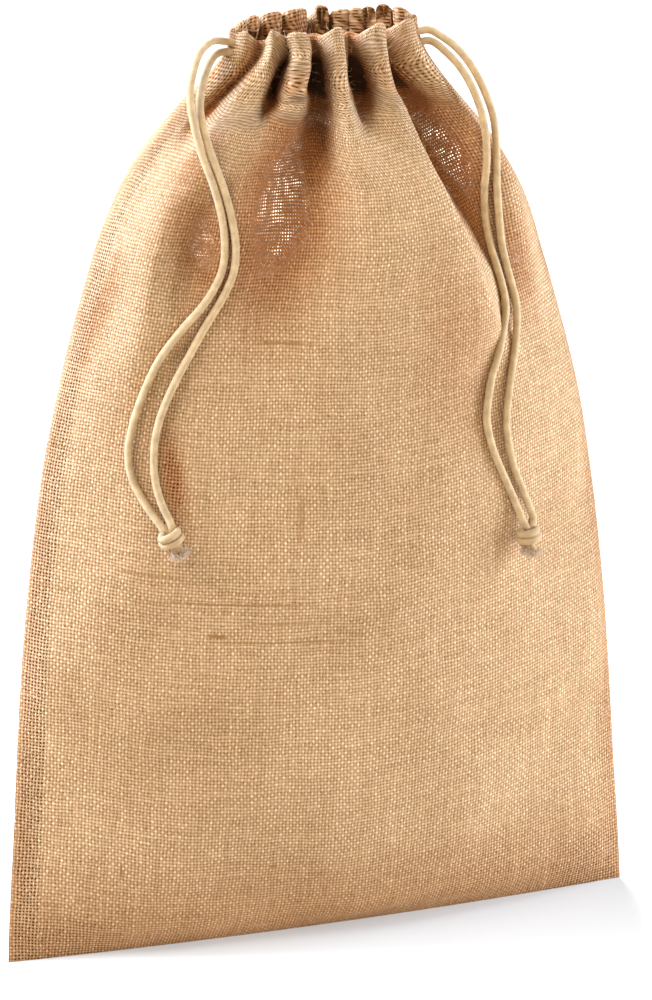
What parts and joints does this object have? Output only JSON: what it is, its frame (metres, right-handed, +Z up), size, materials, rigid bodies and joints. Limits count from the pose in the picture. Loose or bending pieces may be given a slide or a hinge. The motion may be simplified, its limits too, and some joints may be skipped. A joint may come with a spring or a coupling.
{
  "type": "drawstring burlap sack",
  "caption": "Plain-woven jute sack, standing filled, its mouth gathered by drawcords whose tails hang down the front to overhand knots.",
  "frame": {"origin": "middle of the ground that the sack's box covers, without the cords", "axes": "+Z up, X across the sack from its left seam to its right seam as seen from the front, the front faces -Y"},
  "size_m": [0.2962, 0.1057, 0.4175],
  "materials": {
    "jute": "sandy plain-woven jute, open weave, matt, a little see-through",
    "cord_cotton": "round cotton cord in pale straw, fine woven skin, matt",
    "knot_cotton": "tied cotton cord with pale frayed ends, matt"
  },
  "bodies": {
    "root": {"front_panel": "jute", "back_panel": "jute", "cord_left_a": "cord_cotton", "cord_left_b": "cord_cotton", "cord_right_a": "cord_cotton", "cord_right_b": "cord_cotton", "knot_left": "knot_cotton", "knot_right": "knot_cotton"}
  },
  "joints": []
}
